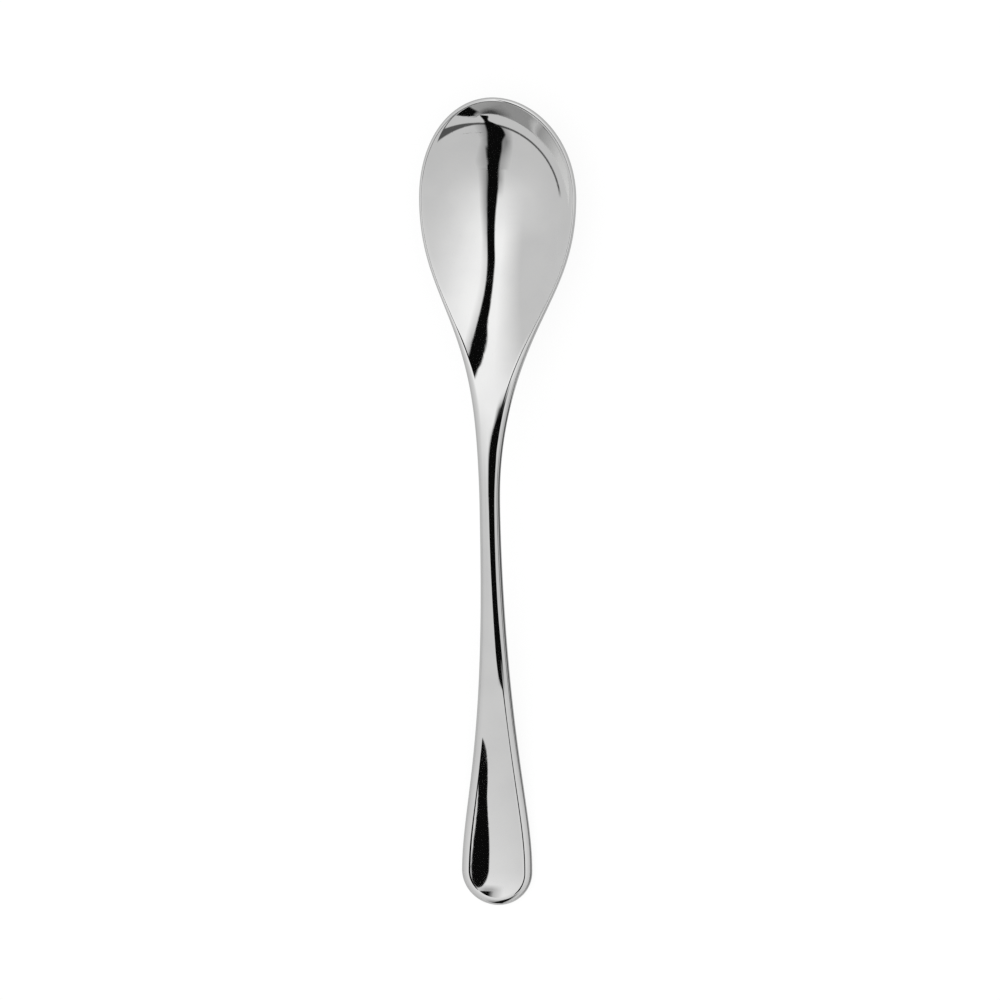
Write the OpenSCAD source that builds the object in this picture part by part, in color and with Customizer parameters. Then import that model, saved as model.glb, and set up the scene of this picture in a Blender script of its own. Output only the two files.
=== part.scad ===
// Teaspoon: one forged, polished piece of stainless steel.
// Millimetres. +Y points to the bowl's tip, +X to the right, +Z up, and it rests on z = 0.
// "At" values are distances from the bowl's tip, measured along the spoon.

/* [Length] */
// Overall length
length = 140; // [125:1:160]
// Distance from the tip to the neck's narrowest place
neck_at = 69; // [62:1:80]

/* [Bowl outline] */
// Width across the bowl
bowl_w = 26.9; // [22:0.1:34]
// Distance from the tip to the bowl's widest place
bowl_nose = 17.2; // [14:0.1:22]
// Share of the shoulder that stays about as wide as the bowl
shoulder_full = 0.36; // [0.2:0.01:0.6]
// Share of the shoulder that stays about as slim as the neck
shoulder_slim = 0.6; // [0.3:0.01:0.8]

/* [Handle outline] */
// Width across the neck
neck_w = 3.5; // [3:0.1:5]
// Width across the handle's end
handle_w = 12.3; // [9:0.1:18]
// Length of the handle's rounded end
handle_butt = 6; // [4:0.1:9]
// Share of the handle that stays about as slim as the neck
flare_slim = 0.65; // [0.3:0.01:0.8]
// Share of the handle that stays about as wide as its end
flare_full = 0.18; // [0.1:0.01:0.5]

/* [Side profile] */
// Distance from the tip to the top of the arch
arch_at = 62.5; // [56:0.5:72]
// Height of the arch, to the middle of the metal
arch_h = 10.4; // [9:0.1:15]
// Rise of the rim from its lowest place to the tip
tip_rise = 3.2; // [0.4:0.1:4]
// Share of the rise, bowl to arch, that stays about as low as the rim
rise_low = 0.64; // [0.3:0.01:0.8]
// Share of the rise that stays about as high as the arch
rise_high = 0.26; // [0.15:0.01:0.6]
// Share of the fall, arch to handle end, that stays about as high as the arch
fall_high = 0.17; // [0.1:0.01:0.4]
// Share of the fall that stays about as low as the handle's end
fall_low = 0.34; // [0.2:0.01:0.6]

/* [Metal] */
// Depth of the bowl's hollow below its rim
bowl_depth = 5.4; // [4:0.1:7]
// How soon the hollow runs out towards the neck
hollow_fade = 1.28; // [1:0.01:1.6]
// Thickness of the bowl at its rim
rim_t = 1.3; // [0.9:0.05:1.8]
// Extra thickness at the bottom of the bowl
bowl_extra_t = 0.2; // [0:0.05:0.5]
// Thickness of the neck's edges
neck_t = 2.4; // [1.8:0.1:3.2]
// Thickness of the handle's edges at its end
handle_t = 1.9; // [1.4:0.1:2.6]

/* [Surfaces] */
// Width of the rounded edge at the bowl's rim
rim_round = 0.45; // [0.35:0.05:1]
// Width of the rounded edge at the neck
neck_round = 1.35; // [0.7:0.05:1.4]
// Width of the rounded edge at the handle's end
handle_round = 1.25; // [0.7:0.05:1.6]
// Height of the neck's crowned top
neck_crown = 0.1; // [0:0.05:0.5]
// Depth of the dished face at the handle's end
handle_dish = 0.42; // [0.1:0.01:0.6]
// Distance from the tip to where the handle's face starts to be dished
dish_at = 92; // [80:1:105]
// Swell of the neck's underside
neck_belly = 0.7; // [0.3:0.05:1]
// Swell of the handle end's underside
handle_belly = 0.25; // [0.15:0.05:0.5]
// Depth of the two rubbed flats that the spoon rests on
rest_flat = 0.12; // [0.08:0.01:0.15]

/* [Hidden] */

bowl_half = bowl_w / 2;
neck_half = neck_w / 2;
handle_half = handle_w / 2;
butt_at = length - handle_butt;
rim_z = bowl_depth + bowl_extra_t + rim_t / 2 - rest_flat;
end_z = handle_t / 2 + handle_belly - rest_flat;

// The bowl's metal turns into the neck's between these two places
turn_margin = 12;
turn_start = bowl_nose + turn_margin;
turn_end = neck_at - turn_margin;

// Rings of points: steps round the bowl's tip, along the length, and round the handle's end
nose_steps = 18;
long_steps = 60;
butt_steps = 10;
// Steps across each edge, and across the top or the underside
edge_steps = 8;
face_steps = 20;
ring_size = 2 * (edge_steps + face_steps);
left_start = edge_steps + face_steps;
under_start = left_start + edge_steps;
right_angle = 90;

// Halvings that find a place on a curve
search_steps = 30;

function bezier(a, b, c, d, t) =
    pow(1 - t, 3) * a + 3 * pow(1 - t, 2) * t * b + 3 * (1 - t) * t * t * c + pow(t, 3) * d;

// Where a curve with the controls 0, near, 1 - far and 1 reaches this share of its run
function find_t(share, near, far, low, high, steps) =
    let (middle = (low + high) / 2)
    steps == 0 ? middle
    : bezier(0, near, 1 - far, 1, middle) > share ? find_t(share, near, far, low, middle, steps - 1)
    : find_t(share, near, far, middle, high, steps - 1);

// From 0 at x0 to 1 at x1, and even outside
function run_share(x, x0, x1) = min(1, max(0, (x - x0) / (x1 - x0)));

// A smooth curve from v0 at x0 to v1 at x1, level at both ends for these shares of its run.
// Gives its value and its slope.
function level_curve(x, x0, v0, near, x1, v1, far) =
    let (t = find_t(run_share(x, x0, x1), near, far, 0, 1, search_steps))
    let (climb = 6 * (v1 - v0) * t * (1 - t))
    let (pace = 3 * (near * pow(1 - t, 2) + 2 * (1 - far - near) * t * (1 - t) + far * t * t))
    [bezier(v0, v0, v1, v1, t), climb / (pace * (x1 - x0))];

// From 0 to 1 with no jump in slope or in curvature
function ease(x, x0, x1) =
    let (t = run_share(x, x0, x1))
    t * t * t * (t * (6 * t - 15) + 10);

// A size that is even over the bowl, turns into the neck's and goes on to the handle end's
function along(x, bowl, neck, handle) =
    bowl + (neck - bowl) * ease(x, turn_start, turn_end) + (handle - neck) * ease(x, neck_at, butt_at);

// Half width of the bowl's and the handle's outlines, and their slopes
function shoulder(x) =
    level_curve(x, bowl_nose, bowl_half, shoulder_full, neck_at, neck_half, shoulder_slim);

function flare(x) = level_curve(x, neck_at, neck_half, flare_slim, butt_at, handle_half, flare_full);

function body(x) = shoulder(x)[0] + flare(x)[0] - neck_half;

// A ring is the turn round the bowl's tip, the share of the length, and the turn round the handle's end
rings = concat(
    [for (k = [0:nose_steps - 1]) [right_angle * k / nose_steps, 0, 0]],
    [for (k = [0:long_steps]) [right_angle, k / long_steps, 0]],
    [for (k = [1:butt_steps]) [right_angle, 1, right_angle * k / butt_steps]]
);
last_ring = len(rings) - 1;

// Distance of a ring from the bowl's tip
function place(r) =
    bowl_nose * (1 - cos(r[0])) + (butt_at - bowl_nose) * r[1] + handle_butt * sin(r[2]);

// Share of the width that is left round the two ends
function rounded(r) = sin(r[0]) * cos(r[2]);

// Direction that the right-hand edge faces, seen from above.
// Its length is the steepness, at the edge, of a swell that is half a unit deep.
function edge_way(r) =
    let (x = place(r))
    [rounded(r) / body(x),
        cos(r[0]) / bowl_nose + (shoulder(x)[1] + flare(x)[1]) / body(x) - sin(r[2]) / handle_butt];

// Height of the middle of the edge
function edge_z(r) =
    let (x = place(r))
    let (rise = level_curve(x, bowl_nose, rim_z, rise_low, arch_at, arch_h, rise_high))
    let (fall = level_curve(x, arch_at, arch_h, fall_high, butt_at, end_z, fall_low))
    rise[0] + fall[0] - arch_h + tip_rise * pow(cos(r[0]), 2);

// How far the bowl is formed: 1 at its widest place, 0 from the neck on
function bowl_share(x) =
    max(0, (pow(shoulder(x)[0], 2) - pow(neck_half, 2)) / (pow(bowl_half, 2) - pow(neck_half, 2)));

// Depth of the hollow, which is a crown on the neck and a dish on the handle
function hollow(x) =
    let (crown = neck_crown * ease(x, turn_start, turn_end))
    let (dish = (handle_dish + crown) * ease(x, dish_at, butt_at))
    bowl_depth * pow(bowl_share(x), hollow_fade) - crown + dish;

// Depth of the swell of the underside
function belly(x) = (bowl_depth + bowl_extra_t) * bowl_share(x) + along(x, 0, neck_belly, handle_belly);

function half_t(x) = along(x, rim_t, neck_t, handle_t) / 2;

function reach(x) = along(x, rim_round, neck_round, handle_round);

// The right-hand edge, from the underside to the top: an ellipse that meets both without a crease
function edge_points(r) =
    let (x = place(r))
    let (way = edge_way(r))
    let (steep = 2 * reach(x) * norm(way))
    let (start = -atan2(half_t(x), steep * belly(x)))
    let (end = 2 * right_angle - atan2(half_t(x), steep * hollow(x)))
    let (outer = [body(x) * rounded(r), length / 2 - x])
    [for (k = [0:edge_steps])
        let (turn = start + (end - start) * k / edge_steps)
        let (spot = outer + reach(x) * (cos(turn) - 1) * way / norm(way))
        [spot[0], spot[1], edge_z(r) + half_t(x) * sin(turn)]];

// The top or the underside, from one edge's end across to the other's, sunk to a parabola
function face_points(from, middle_y, middle_z) =
    [for (k = [1:face_steps - 1])
        let (across = 1 - 2 * k / face_steps)
        let (sunk = 1 - across * across)
        [from[0] * across, from[1] + (middle_y - from[1]) * sunk, from[2] + (middle_z - from[2]) * sunk]];

function mirrored(points) = [for (k = [len(points) - 1:-1:0]) [-points[k][0], points[k][1], points[k][2]]];

// One ring: right edge, top, left edge and underside, with nothing below the table
function ring(r) =
    let (x = place(r))
    let (way = edge_way(r))
    let (share = pow(rounded(r), 2))
    let (right = edge_points(r))
    let (left = mirrored(right))
    let (above = right[edge_steps])
    let (below = left[edge_steps])
    let (top = face_points(above, above[1], above[2] - hollow(x) * share))
    let (under_y = length / 2 - x - reach(x) * way[1] / norm(way))
    let (under = face_points(below, under_y, edge_z(r) - half_t(x) - belly(x) * share))
    [for (p = concat(right, top, left, under)) [p[0], p[1], max(0, p[2])]];

// At the two ends the ring folds flat: both edges share their points,
// the whole top shares one point, and so does the whole underside.
function folded(k) =
    k <= edge_steps ? k
    : k < left_start ? edge_steps
    : k <= under_start ? under_start - k
    : 0;

function corner(i, k) =
    let (spot = k % ring_size)
    i * ring_size + (i == 0 || i == last_ring ? folded(spot) : spot);

// Quads on the right are cut along one diagonal and those on the left along the other, for symmetry
function on_right(k) = k < edge_steps + face_steps / 2 || k >= under_start + face_steps / 2;

function quad_cut(i, k) =
    let (a = corner(i, k))
    let (b = corner(i, k + 1))
    let (c = corner(i + 1, k + 1))
    let (d = corner(i + 1, k))
    on_right(k) ? [[a, d, c], [a, c, b]] : [[a, d, b], [b, d, c]];

function is_whole(f) = f[0] != f[1] && f[1] != f[2] && f[2] != f[0];

module spoon() {
    skin = [for (r = rings) each ring(r)];
    faces = [for (i = [0:last_ring - 1]) for (k = [0:ring_size - 1])
        for (f = quad_cut(i, k)) if (is_whole(f)) f];
    color("silver") polyhedron(points = skin, faces = faces, convexity = 6);
}

spoon();
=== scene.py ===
"""A teaspoon: one forged, mirror-polished piece of stainless steel, on a white table.

The spoon's skin is lofted by a Geometry Nodes tree from the same sizes as the CAD part. Sizes of the spoon
and of the studio are in millimetres, and are turned into metres where a mesh or a camera is made.
"""

import logging
import math
from dataclasses import dataclass, field, fields
from enum import Enum
from types import SimpleNamespace

import bpy
from mathutils import Matrix, Vector


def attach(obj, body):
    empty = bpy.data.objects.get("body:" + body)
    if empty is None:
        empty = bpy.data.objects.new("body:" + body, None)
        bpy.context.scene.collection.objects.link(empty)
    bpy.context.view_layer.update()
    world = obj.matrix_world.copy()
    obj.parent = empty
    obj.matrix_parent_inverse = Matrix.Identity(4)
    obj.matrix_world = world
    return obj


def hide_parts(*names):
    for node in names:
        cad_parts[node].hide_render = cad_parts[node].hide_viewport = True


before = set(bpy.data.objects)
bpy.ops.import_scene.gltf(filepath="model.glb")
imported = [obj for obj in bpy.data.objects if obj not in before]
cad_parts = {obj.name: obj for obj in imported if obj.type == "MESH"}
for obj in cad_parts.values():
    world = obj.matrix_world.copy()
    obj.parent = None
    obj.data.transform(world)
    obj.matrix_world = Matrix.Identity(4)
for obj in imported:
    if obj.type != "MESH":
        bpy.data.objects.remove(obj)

LOG = logging.getLogger("teaspoon")
MM = 0.001
QUARTER_TURN = math.pi / 2


class Ray(Enum):
    """A kind of ray that a studio card can be seen by, named by the object's visibility switch."""

    CAMERA = "visible_camera"
    DIFFUSE = "visible_diffuse"
    GLOSSY = "visible_glossy"
    TRANSMISSION = "visible_transmission"
    SHADOW = "visible_shadow"


@dataclass(frozen=True)
class SpoonSizes:
    """Sizes of the spoon, in millimetres.

    A place is a distance from the bowl's tip. The full, slim, low and high values are shares of a curve's run
    that stay about level at one of its ends, and hollow_fade is a power.
    """

    overall_length: float = 140.0
    neck_place: float = 69.0
    bowl_width: float = 26.9
    bowl_nose: float = 17.2
    shoulder_full: float = 0.36
    shoulder_slim: float = 0.6
    neck_width: float = 3.5
    handle_width: float = 12.3
    handle_butt: float = 6.0
    flare_slim: float = 0.65
    flare_full: float = 0.18
    arch_place: float = 62.5
    arch_height: float = 10.4
    tip_rise: float = 3.2
    rise_low: float = 0.64
    rise_high: float = 0.26
    fall_high: float = 0.17
    fall_low: float = 0.34
    bowl_depth: float = 5.4
    hollow_fade: float = 1.28
    rim_thickness: float = 1.3
    bowl_extra_thickness: float = 0.2
    neck_thickness: float = 2.4
    handle_thickness: float = 1.9
    rim_round: float = 0.45
    neck_round: float = 1.35
    handle_round: float = 1.25
    neck_crown: float = 0.1
    handle_dish: float = 0.42
    dish_place: float = 92.0
    neck_belly: float = 0.7
    handle_belly: float = 0.25
    rest_flat: float = 0.12
    turn_margin: float = 12.0


@dataclass(frozen=True)
class SkinSteps:
    """How finely the skin is divided: along the spoon, and round one ring of it."""

    nose: int = 64
    length: int = 280
    butt: int = 48
    edge: int = 22
    face: int = 44

    @property
    def along(self) -> int:
        """Steps from the bowl's tip to the handle's end."""
        return self.nose + self.length + self.butt

    @property
    def around(self) -> int:
        """Steps round one ring, over both edges, the top and the underside."""
        return 2 * (self.edge + self.face)


@dataclass(frozen=True)
class Amount:
    """A number on a node tree's wire, so that the rule of a shape reads as plain arithmetic."""

    tree: bpy.types.NodeTree
    socket: bpy.types.NodeSocket

    def __add__(self, other: "Amount | float") -> "Amount":
        """The sum of two amounts."""
        return reckon("ADD", self, other)

    def __radd__(self, other: float) -> "Amount":
        """The sum of a number and an amount."""
        return reckon("ADD", other, self)

    def __sub__(self, other: "Amount | float") -> "Amount":
        """The difference of two amounts."""
        return reckon("SUBTRACT", self, other)

    def __rsub__(self, other: float) -> "Amount":
        """A number less an amount."""
        return reckon("SUBTRACT", other, self)

    def __mul__(self, other: "Amount | float") -> "Amount":
        """The product of two amounts."""
        return reckon("MULTIPLY", self, other)

    def __rmul__(self, other: float) -> "Amount":
        """The product of a number and an amount."""
        return reckon("MULTIPLY", other, self)

    def __truediv__(self, other: "Amount | float") -> "Amount":
        """The quotient of two amounts."""
        return reckon("DIVIDE", self, other)


def reckon(operation: str, *terms: Amount | float) -> Amount:
    """Adds one Math node.

    Args:
        operation: The Math node's operation.
        terms: Amounts on the tree, at least one of them, and plain numbers.

    Returns:
        The node's result.
    """
    tree = next(term.tree for term in terms if isinstance(term, Amount))
    node = tree.nodes.new("ShaderNodeMath")
    node.operation = operation
    for slot, term in zip(node.inputs, terms):
        if isinstance(term, Amount):
            tree.links.new(term.socket, slot)
        else:
            slot.default_value = term
    return Amount(tree, node.outputs[0])


def within_unit(amount: Amount) -> Amount:
    """An amount held between 0 and 1."""
    return reckon("MINIMUM", reckon("MAXIMUM", amount, 0.0), 1.0)


def between(low: Amount | float, high: Amount | float, share: Amount | float) -> Amount | float:
    """The amount that lies this share of the way from low to high."""
    return low + (high - low) * share


def add_input(tree: bpy.types.NodeTree, name: str, value: float) -> bpy.types.NodeTreeInterfaceSocket:
    """Adds a named number to a tree's inputs.

    Args:
        tree: The tree.
        name: The input's name.
        value: Its default.

    Returns:
        The new input.
    """
    socket = tree.interface.new_socket(name, in_out="INPUT", socket_type="NodeSocketFloat")
    socket.default_value = value
    return socket


class LevelCurve:
    """A node group: a smooth curve between two values that is level at both its ends."""

    NAME = "Level curve"
    INPUTS = ("Place", "Start place", "Start value", "Start share", "End place", "End value", "End share")
    HALVINGS = 24

    def __init__(self) -> None:
        """Builds the group."""
        self.tree = bpy.data.node_groups.new(self.NAME, "GeometryNodeTree")
        for name in self.INPUTS:
            add_input(self.tree, name, 0.0)
        for name in ("Value", "Slope"):
            self.tree.interface.new_socket(name, in_out="OUTPUT", socket_type="NodeSocketFloat")
        entry = self.tree.nodes.new("NodeGroupInput")
        place, x0, v0, near, x1, v1, far = (Amount(self.tree, entry.outputs[name]) for name in self.INPUTS)
        run = x1 - x0
        turn = self._find(within_unit((place - x0) / run), near, far)
        rest = 1.0 - turn
        value = v0 + (v1 - v0) * turn * turn * (3.0 - 2.0 * turn)
        climb = 6.0 * (v1 - v0) * turn * rest
        pace = 3.0 * (near * rest * rest + 2.0 * (1.0 - far - near) * turn * rest + far * turn * turn)
        leave = self.tree.nodes.new("NodeGroupOutput")
        self.tree.links.new(value.socket, leave.inputs["Value"])
        self.tree.links.new((climb / (pace * run)).socket, leave.inputs["Slope"])

    @staticmethod
    def _reach(turn: Amount, near: Amount, far: Amount) -> Amount:
        """How far along the curve has come, from 0 to 1, at this turn of its Bezier form."""
        rest = 1.0 - turn
        return turn * (3.0 * rest * (rest * near + turn * (1.0 - far)) + turn * turn)

    def _find(self, share: Amount, near: Amount, far: Amount) -> Amount:
        """Halves the curve again and again until it closes in on a place.

        Args:
            share: The place, as a share of the curve's run.
            near: Share of the run that the first handle reaches over.
            far: Share of the run that the last handle reaches over.

        Returns:
            The turn of the Bezier form at that place.
        """
        nodes, links = self.tree.nodes, self.tree.links
        start = nodes.new("GeometryNodeRepeatInput")
        end = nodes.new("GeometryNodeRepeatOutput")
        start.pair_with_output(end)
        end.repeat_items.clear()
        for name in ("Low", "High"):
            end.repeat_items.new("FLOAT", name)
        start.inputs["Iterations"].default_value = self.HALVINGS
        start.inputs["High"].default_value = 1.0
        low = Amount(self.tree, start.outputs["Low"])
        high = Amount(self.tree, start.outputs["High"])
        middle = (low + high) * 0.5
        past = reckon("GREATER_THAN", self._reach(middle, near, far), share)
        links.new(between(middle, low, past).socket, end.inputs["Low"])
        links.new(between(high, middle, past).socket, end.inputs["High"])
        return (Amount(self.tree, end.outputs["Low"]) + Amount(self.tree, end.outputs["High"])) * 0.5

    def use(self, tree: bpy.types.NodeTree, *terms: Amount | float) -> tuple[Amount, Amount]:
        """Places the group in a tree.

        Args:
            tree: The tree that uses it.
            terms: One term for each of the group's inputs, in their order.

        Returns:
            The curve's value and its slope.
        """
        node = tree.nodes.new("GeometryNodeGroup")
        node.node_tree = self.tree
        for name, term in zip(self.INPUTS, terms):
            if isinstance(term, Amount):
                tree.links.new(term.socket, node.inputs[name])
            else:
                node.inputs[name].default_value = term
        return Amount(tree, node.outputs["Value"]), Amount(tree, node.outputs["Slope"])


@dataclass(frozen=True)
class RingPlace:
    """Where a ring of the skin lies, with the turns of the rounded bowl tip and the rounded handle end."""

    place: Amount
    nose_sine: Amount
    nose_cosine: Amount
    butt_sine: Amount
    butt_cosine: Amount


@dataclass(frozen=True)
class RingOutline:
    """A ring seen from above: its half width, and the way that its right edge faces."""

    shoulder: Amount
    half: Amount
    rounded: Amount
    way_x: Amount
    way_y: Amount
    way: Amount


@dataclass(frozen=True)
class RingMetal:
    """The metal of a ring: its rounded edge, half its thickness, its hollow above and its swell below."""

    reach: Amount
    thick: Amount
    deep_above: Amount
    deep_below: Amount


class SpoonLoft:
    """The node tree that lofts the spoon's closed skin, ring by ring, from its sizes."""

    NAME = "Spoon loft"
    WELD = 0.002 * MM

    def __init__(self, sizes: SpoonSizes, steps: SkinSteps, material: bpy.types.Material) -> None:
        """Builds the tree.

        Args:
            sizes: The spoon's sizes, which become the tree's named inputs.
            steps: How finely the skin is divided.
            material: What the skin is made of.
        """
        self.sizes = sizes
        self.steps = steps
        self.tree = bpy.data.node_groups.new(self.NAME, "GeometryNodeTree")
        self.curve = LevelCurve()
        self.sockets = {}
        for size in fields(sizes):
            title = size.name.replace("_", " ").capitalize()
            self.sockets[size.name] = add_input(self.tree, title, getattr(sizes, size.name))
        self.tree.interface.new_socket("Skin", in_out="OUTPUT", socket_type="NodeSocketGeometry")
        entry = self.tree.nodes.new("NodeGroupInput")
        self.s = SimpleNamespace(**{
            name: Amount(self.tree, entry.outputs[socket.name]) for name, socket in self.sockets.items()
        })
        self.bowl_half = self.s.bowl_width / 2.0
        self.neck_half = self.s.neck_width / 2.0
        self.handle_half = self.s.handle_width / 2.0
        self.butt_place = self.s.overall_length - self.s.handle_butt
        self._finish(self._sheet(), material)

    def _sheet(self) -> tuple[bpy.types.Node, Amount, Amount]:
        """Adds the flat sheet that is wrapped into the skin.

        Returns:
            The sheet, the share of the way from the tip to the handle's end, and the share round.
        """
        sheet = self.tree.nodes.new("GeometryNodeMeshGrid")
        sheet.inputs["Size X"].default_value = 1.0
        sheet.inputs["Size Y"].default_value = 1.0
        sheet.inputs["Vertices X"].default_value = self.steps.along + 1
        sheet.inputs["Vertices Y"].default_value = self.steps.around + 1
        position = self.tree.nodes.new("GeometryNodeInputPosition")
        apart = self.tree.nodes.new("ShaderNodeSeparateXYZ")
        self.tree.links.new(position.outputs[0], apart.inputs[0])
        forward = 0.5 - Amount(self.tree, apart.outputs["X"])
        round_share = Amount(self.tree, apart.outputs["Y"]) + 0.5
        return sheet, forward, round_share

    def _finish(self, sheet: tuple[bpy.types.Node, Amount, Amount], material: bpy.types.Material) -> None:
        """Wraps the sheet, welds its seams and ends, smooths it and dresses it.

        Args:
            sheet: What _sheet returned.
            material: What the skin is made of.
        """
        grid, forward, round_share = sheet
        nodes, links = self.tree.nodes, self.tree.links
        spot = nodes.new("ShaderNodeCombineXYZ")
        for amount, slot in zip(self._skin_point(forward, round_share), spot.inputs):
            links.new((amount * MM).socket, slot)
        wrap = nodes.new("GeometryNodeSetPosition")
        links.new(grid.outputs["Mesh"], wrap.inputs["Geometry"])
        links.new(spot.outputs[0], wrap.inputs["Position"])
        weld = nodes.new("GeometryNodeMergeByDistance")
        weld.inputs["Distance"].default_value = self.WELD
        smooth = nodes.new("GeometryNodeSetShadeSmooth")
        realize = nodes.new("GeometryNodeRealizeInstances")
        dress = nodes.new("GeometryNodeSetMaterial")
        dress.inputs["Material"].default_value = material
        leave = nodes.new("NodeGroupOutput")
        chain = (wrap, weld, smooth, realize, dress, leave)
        for before, after in zip(chain, chain[1:]):
            links.new(before.outputs[0], after.inputs[0])

    def _ease(self, place: Amount, start: Amount, end: Amount) -> Amount:
        """From 0 to 1 between two places, with no jump in slope or in curvature."""
        t = within_unit((place - start) / (end - start))
        return t * t * t * (t * (6.0 * t - 15.0) + 10.0)

    def _ring_place(self, forward: Amount) -> RingPlace:
        """Finds where a ring lies.

        Args:
            forward: Share of the rings from the tip to the handle's end.

        Returns:
            The ring's distance from the tip, and the turns of the two rounded ends.
        """
        s, steps = self.s, self.steps
        ring = forward * steps.along
        nose_turn = within_unit(ring / steps.nose) * QUARTER_TURN
        straight = within_unit((ring - steps.nose) / steps.length)
        butt_turn = within_unit((ring - steps.nose - steps.length) / steps.butt) * QUARTER_TURN
        nose_cosine = reckon("COSINE", nose_turn)
        butt_sine = reckon("SINE", butt_turn)
        place = s.bowl_nose * (1.0 - nose_cosine) + (self.butt_place - s.bowl_nose) * straight
        place = place + s.handle_butt * butt_sine
        nose_sine = reckon("SINE", nose_turn)
        butt_cosine = reckon("COSINE", butt_turn)
        return RingPlace(place, nose_sine, nose_cosine, butt_sine, butt_cosine)

    def _outline(self, ring: RingPlace) -> RingOutline:
        """Finds how wide the spoon is at a ring.

        Args:
            ring: Where the ring lies.

        Returns:
            The ring's outline. The length of its edge's way is the steepness, at the edge, of a swell
            that is half a unit deep.
        """
        s = self.s
        bowl_end = (s.bowl_nose, self.bowl_half, s.shoulder_full)
        neck_end = (s.neck_place, self.neck_half, s.shoulder_slim)
        shoulder, shoulder_slope = self.curve.use(self.tree, ring.place, *bowl_end, *neck_end)
        neck_start = (s.neck_place, self.neck_half, s.flare_slim)
        handle_end = (self.butt_place, self.handle_half, s.flare_full)
        flare, flare_slope = self.curve.use(self.tree, ring.place, *neck_start, *handle_end)
        body = shoulder + flare - self.neck_half
        rounded = ring.nose_sine * ring.butt_cosine
        way_x = rounded / body
        way_y = ring.nose_cosine / s.bowl_nose + (shoulder_slope + flare_slope) / body
        way_y = way_y - ring.butt_sine / s.handle_butt
        way = reckon("SQRT", way_x * way_x + way_y * way_y)
        return RingOutline(shoulder, body * rounded, rounded, way_x, way_y, way)

    def _metal(self, place: Amount, shoulder: Amount) -> RingMetal:
        """Finds the metal of a ring, which turns from the bowl's into the neck's and then the handle's.

        Args:
            place: The ring's distance from the tip.
            shoulder: Half width of the bowl and its shoulder there.

        Returns:
            The ring's metal.
        """
        s = self.s
        turned = self._ease(place, s.bowl_nose + s.turn_margin, s.neck_place - s.turn_margin)
        spread = self._ease(place, s.neck_place, self.butt_place)
        dished = self._ease(place, s.dish_place, self.butt_place)
        reach = between(between(s.rim_round, s.neck_round, turned), s.handle_round, spread)
        bowl_to_neck = between(s.rim_thickness, s.neck_thickness, turned)
        thick = between(bowl_to_neck, s.handle_thickness, spread) / 2.0
        slim = self.neck_half * self.neck_half
        formed = (shoulder * shoulder - slim) / (self.bowl_half * self.bowl_half - slim)
        hollow = s.bowl_depth * reckon("POWER", reckon("MAXIMUM", formed, 0.0), s.hollow_fade)
        crown = between(-1.0 * s.neck_crown * turned, s.handle_dish, dished)
        belly = (s.bowl_depth + s.bowl_extra_thickness) * formed
        swell = between(s.neck_belly * turned, s.handle_belly, spread)
        return RingMetal(reach, thick, hollow + crown, belly + swell)

    def _middle_height(self, ring: RingPlace) -> Amount:
        """Finds the side profile at a ring.

        Args:
            ring: Where the ring lies.

        Returns:
            Height of the middle of the edge.
        """
        s = self.s
        rim_z = s.bowl_depth + s.bowl_extra_thickness + s.rim_thickness / 2.0 - s.rest_flat
        end_z = s.handle_thickness / 2.0 + s.handle_belly - s.rest_flat
        rim = (s.bowl_nose, rim_z, s.rise_low)
        arch = (s.arch_place, s.arch_height)
        end = (self.butt_place, end_z, s.fall_low)
        rise, _ = self.curve.use(self.tree, ring.place, *rim, *arch, s.rise_high)
        fall, _ = self.curve.use(self.tree, ring.place, *arch, s.fall_high, *end)
        return rise + fall - s.arch_height + s.tip_rise * ring.nose_cosine * ring.nose_cosine

    def _skin_point(self, forward: Amount, round_share: Amount) -> tuple[Amount, Amount, Amount]:
        """The rule of the spoon's skin.

        Args:
            forward: Share of the rings from the tip to the handle's end.
            round_share: Share of the way round a ring: right edge, top, left edge, underside.

        Returns:
            The skin's x, y and z there, in millimetres.
        """
        ring = self._ring_place(forward)
        outline = self._outline(ring)
        metal = self._metal(ring.place, outline.shoulder)
        middle_z = self._middle_height(ring)
        ring_y = self.s.overall_length / 2.0 - ring.place

        # Half a ring is an edge and then the face that starts from it: first above, then below
        is_below = reckon("GREATER_THAN", round_share, 0.5)
        leg = round_share * 2.0 - is_below
        edge_share = self.steps.edge / (self.steps.edge + self.steps.face)
        edge_part = within_unit(leg / edge_share)
        face_part = within_unit((leg - edge_share) / (1.0 - edge_share))

        # The edge is an ellipse that meets the top and the underside without a crease
        steep_below = 2.0 * metal.reach * metal.deep_below * outline.way
        steep_above = 2.0 * metal.reach * metal.deep_above * outline.way
        lowest = -1.0 * reckon("ARCTAN2", metal.thick, steep_below)
        highest = math.pi - reckon("ARCTAN2", metal.thick, steep_above)
        turn = between(lowest, highest, between(edge_part, 1.0 - edge_part, is_below))
        out = metal.reach * (reckon("COSINE", turn) - 1.0) / outline.way
        edge_x = outline.half + out * outline.way_x
        edge_y = ring_y + out * outline.way_y
        edge_z = middle_z + metal.thick * reckon("SINE", turn)

        # The face sinks from the edge to a parabola, and nothing is below the table
        across = 1.0 - 2.0 * face_part
        sunk = 1.0 - across * across
        share = outline.rounded * outline.rounded
        inner_y = ring_y - metal.reach * outline.way_y / outline.way
        bottom = middle_z - metal.thick - metal.deep_below * share
        x = edge_x * across * (1.0 - 2.0 * is_below)
        y = edge_y + (inner_y - edge_y) * sunk * is_below
        z = edge_z + between(-1.0 * metal.deep_above * share, bottom - edge_z, is_below) * sunk
        return x, y, reckon("MAXIMUM", z, 0.0)

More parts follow.
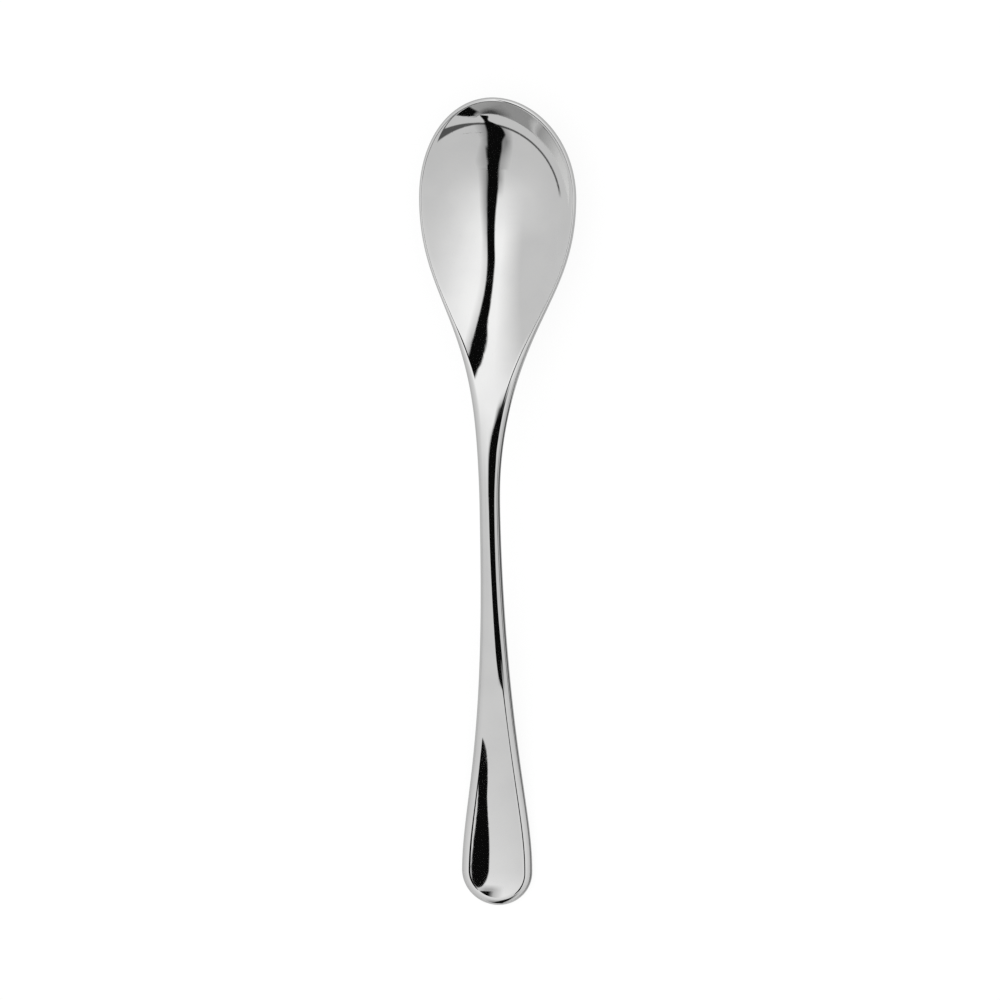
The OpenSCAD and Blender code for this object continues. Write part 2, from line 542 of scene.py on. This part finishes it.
    def make(self, name: str) -> bpy.types.Object:
        """Runs the tree and keeps its result as a plain mesh.

        Args:
            name: The piece's name.

        Returns:
            The piece, at the origin.
        """
        carrier = bpy.data.objects.new(name, bpy.data.meshes.new(name))
        bpy.context.scene.collection.objects.link(carrier)
        modifier = carrier.modifiers.new(self.NAME, "NODES")
        modifier.node_group = self.tree
        for key, socket in self.sockets.items():
            modifier[socket.identifier] = getattr(self.sizes, key)
        graph = bpy.context.evaluated_depsgraph_get()
        skin = bpy.data.meshes.new_from_object(carrier.evaluated_get(graph), depsgraph=graph)
        carrier.modifiers.remove(modifier)
        carrier.data = skin
        skin.name = name
        return carrier


@dataclass(frozen=True)
class PolishedSteel:
    """Mirror-polished stainless steel, with the faint haze, hairlines and waves that polishing leaves."""

    name: str = "polished_steel"
    clear_colour: tuple[float, float, float] = (0.87, 0.87, 0.865)
    hazy_colour: tuple[float, float, float] = (0.84, 0.84, 0.838)
    clear_roughness: float = 0.025
    hazy_roughness: float = 0.04
    haze_scale: float = 160.0
    haze_range: tuple[float, float] = (0.35, 0.7)
    hairline_stretch: tuple[float, float, float] = (1500.0, 45.0, 1500.0)
    hairline_turns: tuple[float, ...] = (4.0, -23.0)
    hairline_range: tuple[float, float] = (0.6, 0.72)
    hairline_roughness: float = 0.012
    hairline_depth: float = 0.3
    wave_scale: float = 110.0
    wave_height: float = 2.5
    noise_detail: float = 3.0
    micron: float = 1e-6

    def material(self) -> bpy.types.Material:
        """Makes the material.

        Returns:
            The material, with its nodes.
        """
        steel = bpy.data.materials.new(self.name)
        steel.use_nodes = True
        tree = steel.node_tree
        place = tree.nodes.new("ShaderNodeTexCoord").outputs["Object"]
        haze = self._noise(tree, place, self.haze_scale)
        clouds = self._step(tree, haze, *self.haze_range)
        lines = [self._hairlines(tree, place, turn) for turn in self.hairline_turns]
        scratched = reckon("MAXIMUM", *lines)
        waves = self._noise(tree, place, self.wave_scale)
        shader = tree.nodes["Principled BSDF"]
        shader.inputs["Metallic"].default_value = 1.0
        colour = tree.nodes.new("ShaderNodeMix")
        colour.data_type = "RGBA"
        colour.inputs["A"].default_value = (*self.clear_colour, 1.0)
        colour.inputs["B"].default_value = (*self.hazy_colour, 1.0)
        tree.links.new(clouds.socket, colour.inputs["Factor"])
        tree.links.new(colour.outputs["Result"], shader.inputs["Base Color"])
        roughness = between(self.clear_roughness, self.hazy_roughness, clouds)
        roughness = roughness + self.hairline_roughness * scratched
        tree.links.new(roughness.socket, shader.inputs["Roughness"])
        height = self.wave_height * waves - self.hairline_depth * scratched
        bump = tree.nodes.new("ShaderNodeBump")
        bump.inputs["Distance"].default_value = self.micron
        tree.links.new(height.socket, bump.inputs["Height"])
        tree.links.new(bump.outputs["Normal"], shader.inputs["Normal"])
        return steel

    def _noise(self, tree: bpy.types.NodeTree, place: bpy.types.NodeSocket, scale: float) -> Amount:
        """Cloudy noise.

        Args:
            tree: The material's tree.
            place: Where on the piece it is looked up.
            scale: How fine it is, per metre.

        Returns:
            A number from 0 to 1.
        """
        noise = tree.nodes.new("ShaderNodeTexNoise")
        noise.inputs["Scale"].default_value = scale
        noise.inputs["Detail"].default_value = self.noise_detail
        tree.links.new(place, noise.inputs["Vector"])
        return Amount(tree, noise.outputs["Fac"])

    def _step(self, tree: bpy.types.NodeTree, amount: Amount, low: float, high: float) -> Amount:
        """A smooth step.

        Args:
            tree: The material's tree.
            amount: What is stepped.
            low: Where the step starts.
            high: Where it ends.

        Returns:
            A number from 0 at low to 1 at high.
        """
        step = tree.nodes.new("ShaderNodeMapRange")
        step.interpolation_type = "SMOOTHSTEP"
        step.inputs["From Min"].default_value = low
        step.inputs["From Max"].default_value = high
        tree.links.new(amount.socket, step.inputs["Value"])
        return Amount(tree, step.outputs["Result"])

    def _hairlines(self, tree: bpy.types.NodeTree, place: bpy.types.NodeSocket, turn: float) -> Amount:
        """Fine polishing lines.

        Args:
            tree: The material's tree.
            place: Where on the piece they are looked up.
            turn: Degrees from the spoon's length, seen from above.

        Returns:
            1 on a line and 0 off it.
        """
        stretch = tree.nodes.new("ShaderNodeMapping")
        stretch.vector_type = "TEXTURE"
        stretch.inputs["Rotation"].default_value = (0.0, 0.0, math.radians(turn))
        stretch.inputs["Scale"].default_value = tuple(1.0 / value for value in self.hairline_stretch)
        tree.links.new(place, stretch.inputs["Vector"])
        streaks = self._noise(tree, stretch.outputs["Vector"], 1.0)
        return self._step(tree, streaks, *self.hairline_range)


@dataclass
class Teaspoon:
    """The spoon itself: one piece, which takes the CAD node's place."""

    sizes: SpoonSizes = field(default_factory=SpoonSizes)
    steps: SkinSteps = field(default_factory=SkinSteps)
    finish: PolishedSteel = field(default_factory=PolishedSteel)
    node: str = "spoon"
    body: str = "root"

    def build(self) -> bpy.types.Object:
        """Lofts the spoon, dresses it and ties it to the frame.

        Returns:
            The finished piece.
        """
        loft = SpoonLoft(self.sizes, self.steps, self.finish.material())
        piece = loft.make("teaspoon_skin")
        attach(piece, self.body)
        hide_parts(self.node)
        return piece


@dataclass(frozen=True)
class StripRow:
    """One row across a strip, in millimetres.

    Attributes:
        y: The row's place.
        left: Its left border.
        right: Its right border.
        fade: How far a border fades to each side.
        cover: How dense the strip is here, from 0 to 1.
    """

    y: float
    left: float
    right: float
    fade: float = 0.5
    cover: float = 1.0


@dataclass(frozen=True)
class Strip:
    """A card hung over the spoon, which only the polished metal shows.

    Attributes:
        name: The strip's name.
        height: Its height over the table, at y = 0.
        rows: The rows that its borders pass through.
        tone: How bright it is.
        rise: How much it rises for each unit of y.
        reflections: How many reflections deep it is still seen. Deeper ones go past it.
        parts: Steps from one row to the next.
    """

    name: str
    height: float
    rows: tuple[StripRow, ...]
    tone: float = 0.003
    rise: float = 0.0
    reflections: int = 4
    parts: int = 6

    def smooth(self) -> list[StripRow]:
        """Draws a smooth curve through the strip's rows.

        Returns:
            The rows, with more rows between them.
        """
        near = (self.rows[0], *self.rows, self.rows[-1])
        fine = []
        for four in zip(near, near[1:], near[2:], near[3:]):
            _, first, last, _ = four
            lefts = [(row.y, row.left) for row in four]
            rights = [(row.y, row.right) for row in four]
            for part in range(self.parts):
                share = part / self.parts
                fine.append(StripRow(
                    between(first.y, last.y, share),
                    self._bend(lefts, share),
                    self._bend(rights, share),
                    between(first.fade, last.fade, share),
                    between(first.cover, last.cover, share),
                ))
        return [*fine, self.rows[-1]]

    @staticmethod
    def _bend(border: list[tuple[float, float]], share: float) -> float:
        """Finds a border between two rows, on a cubic that takes its slopes from the rows around them.

        Args:
            border: Place and border of four rows: one before, the two, and one after.
            share: How far from the first of the two to the last.

        Returns:
            The border there.
        """
        (before_y, before), (first_y, first), (last_y, last), (after_y, after) = border
        run = last_y - first_y
        step = last - first
        start_slope = (last - before) / (last_y - before_y) * run
        end_slope = (after - first) / (after_y - first_y) * run
        twist = start_slope + end_slope - 2 * step
        bend = twist * share + 3 * step - 2 * start_slope - end_slope
        return first + share * (start_slope + share * bend)

    def build(self) -> bpy.types.Object:
        """Makes the strip.

        Returns:
            The strip, which only glossy rays see.
        """
        rows = self.smooth()
        spots = [
            Vector((x, row.y, self.height + self.rise * row.y)) * MM
            for row in rows
            for x in (row.left - row.fade, row.left + row.fade, row.right - row.fade, row.right + row.fade)
        ]
        cover = [value for row in rows for value in (0.0, row.cover, row.cover, 0.0)]
        wide = len(cover) // len(rows)
        faces = [
            (first, first + 1, first + wide + 1, first + wide)
            for start in range(0, len(spots) - wide, wide)
            for first in range(start, start + wide - 1)
        ]
        mesh = bpy.data.meshes.new(self.name)
        mesh.from_pydata(spots, [], faces)
        mesh.attributes.new("cover", "FLOAT", "POINT").data.foreach_set("value", cover)
        mesh.materials.append(self._material())
        strip = bpy.data.objects.new(self.name, mesh)
        bpy.context.scene.collection.objects.link(strip)
        for ray in Ray:
            setattr(strip, ray.value, ray is Ray.GLOSSY)
        return strip

    def _material(self) -> bpy.types.Material:
        """Makes an even tone that fades out at the strip's borders.

        Returns:
            The strip's material.
        """
        material = bpy.data.materials.new(self.name)
        material.use_nodes = True
        tree = material.node_tree
        nodes, links = tree.nodes, tree.links
        nodes.remove(nodes["Principled BSDF"])
        tone = nodes.new("ShaderNodeEmission")
        tone.inputs["Strength"].default_value = self.tone
        clear = nodes.new("ShaderNodeBsdfTransparent")
        cover = nodes.new("ShaderNodeAttribute")
        cover.attribute_name = "cover"
        path = nodes.new("ShaderNodeLightPath")
        depth = Amount(tree, path.outputs["Glossy Depth"])
        seen = Amount(tree, cover.outputs["Fac"]) * reckon("LESS_THAN", depth, self.reflections + 0.5)
        mix = nodes.new("ShaderNodeMixShader")
        links.new(seen.socket, mix.inputs["Fac"])
        links.new(clear.outputs[0], mix.inputs[1])
        links.new(tone.outputs[0], mix.inputs[2])
        links.new(mix.outputs[0], nodes["Material Output"].inputs["Surface"])
        return material


@dataclass(frozen=True)
class Horizon:
    """The dark line low round the studio, which the bowl's tip shows.

    Places are parts of a direction whose length is 1.

    Attributes:
        height: How high the line is.
        half_width: Half its width.
        soft: How far its borders fade.
        wedge_from: Where, to the right, it starts to widen to a wedge.
        wedge_gain: How fast the wedge widens.
        end: It is gone where a direction points less than this to the handle, and whole past twice this.
        tone: How bright it is, as a share of the light around it.
    """

    height: float = 0.156
    half_width: float = 0.009
    soft: float = 0.012
    wedge_from: float = 0.1
    wedge_gain: float = 0.075
    end: float = 0.13
    tone: float = 0.15


@dataclass
class Studio:
    """White table, soft light all round, and the cards that the polished metal mirrors.

    Attributes:
        table_size: Length of the table's sides, in millimetres.
        table_colour: How pale the table is, where light falls on it.
        table_share: Share of the table's look that is its own glow; the matt rest keeps the spoon's shadow.
        table_seen: Strength of that glow as the camera sees it.
        table_in_metal: Strength of that glow as the metal shows it.
        horizon: The dark line low round the studio.
        glow_way: The way to the middle of the bright sky that the metal shows.
        glow: Stops of that sky: nearness to its middle, and brightness.
        strips: The cards.
    """

    table_size: float = 6000.0
    table_colour: float = 0.8
    table_share: float = 0.8
    table_seen: float = 1.08
    table_in_metal: float = 0.45
    horizon: Horizon = field(default_factory=Horizon)
    glow_way: tuple[float, float, float] = (0.0, 0.5, 0.866)
    glow: tuple[tuple[float, float], ...] = (
        (0.0, 0.58), (0.4, 0.64), (0.6, 0.7), (0.8, 0.83), (0.92, 0.94), (1.0, 1.03),
    )
    strips: tuple[Strip, ...] = (
        # The dark strip down the bowl's middle: its part near the tip, with soft sides
        Strip("far_strip", 2000.0, (
            StripRow(-50000.0, -5500.0, -1000.0, 300.0),
            StripRow(-35000.0, -3850.0, -700.0, 250.0),
            StripRow(-18400.0, -1850.0, -740.0, 150.0),
            StripRow(-12000.0, -2800.0, -430.0, 150.0),
            StripRow(-7200.0, -2230.0, -250.0, 110.0),
            StripRow(-4700.0, -1250.0, -30.0, 70.0),
            StripRow(-3300.0, -860.0, 100.0, 60.0),
            StripRow(-2400.0, -580.0, 180.0, 50.0),
            StripRow(-1870.0, -420.0, 210.0, 60.0),
            StripRow(-1330.0, -290.0, 250.0, 50.0),
        ), reflections=1),
        Strip("far_halo", 2010.0, (
            StripRow(-14000.0, -3800.0, 300.0, 900.0, 0.0),
            StripRow(-11000.0, -3600.0, 400.0, 900.0, 0.5),
            StripRow(-4700.0, -1900.0, 250.0, 300.0, 0.6),
            StripRow(-2000.0, -760.0, 560.0, 320.0, 0.45),
            StripRow(-1500.0, -600.0, 510.0, 260.0, 0.45),
            StripRow(-1380.0, -570.0, 500.0, 240.0, 0.0),
        )),
        # The same strip from there on, with soft sides
        Strip("near_strip", 168.0, (
            StripRow(-60.0, -25.0, 19.5, 5.0),
            StripRow(-18.0, -18.5, 21.0, 4.5),
            StripRow(12.0, -16.5, 22.0, 3.0),
            StripRow(40.0, -12.5, 22.5, 3.0),
            StripRow(60.0, -8.5, 21.2, 2.5),
            StripRow(85.0, -8.5, 18.2, 2.0),
            StripRow(111.0, -13.0, 12.5, 2.0),
            StripRow(131.0, -20.0, 6.0, 2.0),
            StripRow(141.0, -22.0, 2.0, 2.0),
            StripRow(150.0, -24.0, -1.0, 2.0),
            StripRow(200.0, -36.0, -10.0, 2.0),
        )),
        Strip("left_halo", 169.0, (
            StripRow(-74.0, 8.0, 42.0, 15.0, 0.0),
            StripRow(-64.0, 8.0, 41.0, 15.0, 0.45),
            StripRow(25.0, 8.0, 37.0, 14.0, 0.7),
            StripRow(53.0, 7.0, 35.0, 13.0, 0.7),
            StripRow(92.0, 4.0, 26.0, 11.0, 0.6),
            StripRow(127.0, -2.0, 19.0, 10.0, 0.25),
            StripRow(145.0, -6.0, 12.0, 9.0, 0.2),
        )),
        Strip("right_halo", 169.0, (
            StripRow(-74.0, -40.0, 0.0, 13.0, 0.0),
            StripRow(-64.0, -38.0, 0.0, 13.0, 0.5),
            StripRow(-20.0, -32.0, 0.0, 13.0, 0.6),
            StripRow(25.0, -26.0, 0.0, 12.0, 0.3),
            StripRow(40.0, -24.0, 0.0, 11.0, 0.0),
        )),
        # The strip's end, where the bowl runs out into the neck
        Strip("neck_strip", 30.0, (
            StripRow(31.8, -3.1, -2.6, 0.1),
            StripRow(33.0, -3.3, -2.1, 0.1),
            StripRow(35.2, -3.4, -1.4, 0.1),
            StripRow(38.0, -3.7, -1.0, 0.2),
            StripRow(40.4, -3.8, -1.1, 0.2),
            StripRow(43.8, -3.6, -1.3, 0.2),
            StripRow(47.2, -3.4, -1.7, 0.2),
        )),
        # The dark drop in the dished handle end
        Strip("teardrop", 340.0, (
            StripRow(-240.0, -33.0, 37.0, 2.0),
            StripRow(-225.0, -23.0, 37.0, 2.0),
            StripRow(-217.0, -20.0, 37.0, 2.0),
            StripRow(-185.0, -36.0, 36.0, 2.0),
            StripRow(-160.0, -40.0, 36.0, 2.0),
            StripRow(-125.0, -34.0, 35.0, 2.0),
            StripRow(-93.0, -24.0, 30.0, 2.0),
            StripRow(-73.0, -10.0, 18.0, 2.0),
            StripRow(-66.0, 1.0, 10.0, 2.0, 0.9),
        ), reflections=1),
        # The strip's wider start, next to the horizon line
        Strip("funnel", 2005.0, (
            StripRow(-3700.0, 0.0, 200.0, 60.0, 0.0),
            StripRow(-3200.0, 0.0, 220.0, 60.0, 0.8),
            StripRow(-2300.0, 0.0, 235.0, 60.0, 0.8),
            StripRow(-1750.0, 0.0, 230.0, 60.0, 0.0),
        )),
        # The dark band along the right of the neck and the handle
        Strip("low_flag", 24.0, (
            StripRow(-51.0, -3.5, 20.0, 0.8, 0.0),
            StripRow(-43.5, 0.5, 19.0, 0.8),
            StripRow(-34.0, 1.6, 13.8, 1.0),
            StripRow(-25.0, 0.8, 12.7, 1.2),
            StripRow(-14.0, 0.3, 13.0, 1.3),
            StripRow(-2.0, -0.9, 12.5, 1.0),
            StripRow(6.0, -1.6, 10.3, 0.8),
            StripRow(9.0, -1.5, 8.3, 0.8),
            StripRow(12.0, -0.9, 8.3, 0.7),
            StripRow(14.5, -0.4, 8.1, 0.5),
            StripRow(17.0, -0.1, 8.0, 0.4),
            StripRow(19.5, -0.1, 7.6, 0.4, 0.95),
            StripRow(21.5, 0.0, 8.0, 0.5, 0.4),
            StripRow(23.5, 0.2, 7.0, 0.6, 0.0),
        ), rise=-0.29),
        # A dark sheet on the table, a painted shadow that stands in for the table's shade beside the handle
        # and is seen only in the metal: it makes the dark line low on the handle's right edge
        Strip("painted_table_shadow", 0.2, (
            StripRow(-85.0, 8.0, 60.0, 2.0),
            StripRow(15.0, 8.0, 60.0, 2.0),
        ), tone=0.1),
        # The greyer right side of the bowl
        Strip("right_flag", 171.0, (
            StripRow(0.0, -700.0, -85.0, 45.0, 0.0),
            StripRow(60.0, -700.0, -85.0, 45.0, 0.5),
            StripRow(110.0, -700.0, -85.0, 45.0),
            StripRow(300.0, -700.0, -85.0, 45.0),
        ), tone=0.61),
    )

    def build(self) -> None:
        """Makes the table, the light and the strips."""
        self._table()
        self._world()
        for strip in self.strips:
            strip.build()

    def _table(self) -> None:
        """Makes the white table that the spoon lies on."""
        half = self.table_size / 2 * MM
        mesh = bpy.data.meshes.new("table")
        corner_spots = [(-half, -half, 0.0), (half, -half, 0.0), (half, half, 0.0), (-half, half, 0.0)]
        mesh.from_pydata(corner_spots, [], [(0, 1, 2, 3)])
        mesh.materials.append(self._table_white())
        table = bpy.data.objects.new("table", mesh)
        bpy.context.scene.collection.objects.link(table)

    def _table_white(self) -> bpy.types.Material:
        """Makes the table's matt white, with a glow that only the camera and the metal see.

        Returns:
            The table's material.
        """
        white = bpy.data.materials.new("table_white")
        white.use_nodes = True
        tree = white.node_tree
        nodes, links = tree.nodes, tree.links
        matt = nodes["Principled BSDF"]
        pale = self.table_colour
        matt.inputs["Base Color"].default_value = (pale, pale, pale, 1.0)
        matt.inputs["Roughness"].default_value = 1.0
        matt.inputs["Specular IOR Level"].default_value = 0.0
        path = nodes.new("ShaderNodeLightPath")
        camera = Amount(tree, path.outputs["Is Camera Ray"])
        glossy = Amount(tree, path.outputs["Is Glossy Ray"])
        strength = between(self.table_seen, self.table_in_metal, glossy)
        share = self.table_share * reckon("MAXIMUM", camera, glossy)
        glow = nodes.new("ShaderNodeEmission")
        links.new(strength.socket, glow.inputs["Strength"])
        mix = nodes.new("ShaderNodeMixShader")
        links.new(share.socket, mix.inputs["Fac"])
        links.new(matt.outputs["BSDF"], mix.inputs[1])
        links.new(glow.outputs["Emission"], mix.inputs[2])
        links.new(mix.outputs["Shader"], nodes["Material Output"].inputs["Surface"])
        return white

    def _world(self) -> None:
        """Makes the soft light: plain white on the table, and a sky with a horizon line in the metal."""
        world = bpy.data.worlds.new("studio")
        bpy.context.scene.world = world
        world.use_nodes = True
        tree = world.node_tree
        nodes, links = tree.nodes, tree.links
        way = nodes.new("ShaderNodeTexCoord")
        apart = nodes.new("ShaderNodeSeparateXYZ")
        links.new(way.outputs["Generated"], apart.inputs[0])
        x, y, z = (Amount(tree, apart.outputs[axis]) for axis in "XYZ")
        towards = x * self.glow_way[0] + y * self.glow_way[1] + z * self.glow_way[2]
        line = self.horizon
        half_width = line.half_width + line.wedge_gain * reckon("MAXIMUM", x - line.wedge_from, 0.0)
        beside = within_unit((reckon("ABSOLUTE", z - line.height) - half_width) / line.soft)
        ahead = within_unit((y + 2 * line.end) / line.end)
        sky = self._sky(towards) * between(line.tone, 1.0, reckon("MAXIMUM", beside, ahead))
        path = nodes.new("ShaderNodeLightPath")
        strength = between(1.0, sky, Amount(tree, path.outputs["Is Glossy Ray"]))
        background = nodes["Background"]
        background.inputs["Color"].default_value = (1.0, 1.0, 1.0, 1.0)
        links.new(strength.socket, background.inputs["Strength"])

    def _sky(self, towards: Amount) -> Amount:
        """Finds how bright the sky is in a direction.

        Args:
            towards: How near the direction is to the sky's middle, where it is 1.

        Returns:
            The brightness.
        """
        ramp = towards.tree.nodes.new("ShaderNodeValToRGB")
        ramp.color_ramp.interpolation = "B_SPLINE"
        stops = ramp.color_ramp.elements
        while len(stops) < len(self.glow):
            stops.new(0.5)
        for stop, (place, level) in zip(stops, self.glow):
            stop.position = place
            stop.color = (level, level, level, 1.0)
        towards.tree.links.new(towards.socket, ramp.inputs["Fac"])
        return Amount(towards.tree, ramp.outputs["Color"])


@dataclass(frozen=True)
class PhotoCamera:
    """The photograph's viewpoint: nearly from above, a little to the right and towards the bowl's tip.

    Attributes:
        lean: Degrees from straight above to the right.
        reach: Degrees from straight above towards the bowl's tip.
        roll: Degrees that the picture is turned by.
        distance: From the target to the camera, in millimetres.
        target: The spot that the camera looks at, in millimetres.
        focal_px: Focal length, in pixels of the picture.
        centre_px: The target's place in the picture, in pixels from its upper left corner.
        image_px: Width and height of the picture, in pixels.
        sensor: Width of the sensor, in millimetres.
        nearest: What is closer to the camera isn't seen, in millimetres.
    """

    lean: float = 12.0
    reach: float = 10.0
    roll: float = 0.554
    distance: float = 1000.0
    target: tuple[float, float, float] = (0.0, 0.0, 5.0)
    focal_px: float = 5907.1
    centre_px: tuple[float, float] = (495.88, 507.28)
    image_px: float = 1000.0
    sensor: float = 36.0
    nearest: float = 10.0

    def build(self) -> None:
        """Makes the camera and gives it to the scene."""
        lens = bpy.data.cameras.new("camera")
        lens.sensor_fit = "HORIZONTAL"
        lens.sensor_width = self.sensor
        lens.lens = self.focal_px * self.sensor / self.image_px
        lens.shift_x = 0.5 - self.centre_px[0] / self.image_px
        lens.shift_y = self.centre_px[1] / self.image_px - 0.5
        lens.clip_start = self.nearest * MM
        slopes = (math.tan(math.radians(angle)) for angle in (self.lean, self.reach))
        back = Vector((*slopes, 1.0)).normalized()
        level_right = Vector((0.0, 1.0, 0.0)).cross(back).normalized()
        level_up = back.cross(level_right)
        sine, cosine = math.sin(math.radians(self.roll)), math.cos(math.radians(self.roll))
        right = cosine * level_right + sine * level_up
        up = cosine * level_up - sine * level_right
        camera = bpy.data.objects.new("camera", lens)
        place = Matrix((right, up, back)).transposed().to_4x4()
        place.translation = (Vector(self.target) + back * self.distance) * MM
        camera.matrix_world = place
        bpy.context.scene.collection.objects.link(camera)
        bpy.context.scene.camera = camera


def main() -> None:
    """Builds the spoon, the studio and the camera."""
    logging.basicConfig(level=logging.INFO, format="%(name)s: %(message)s")
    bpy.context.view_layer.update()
    piece = Teaspoon().build()
    LOG.info("%s has %d faces", piece.name, len(piece.data.polygons))
    Studio().build()
    PhotoCamera().build()
    bpy.context.scene.view_settings.view_transform = "Standard"


if __name__ == "__main__":
    main()
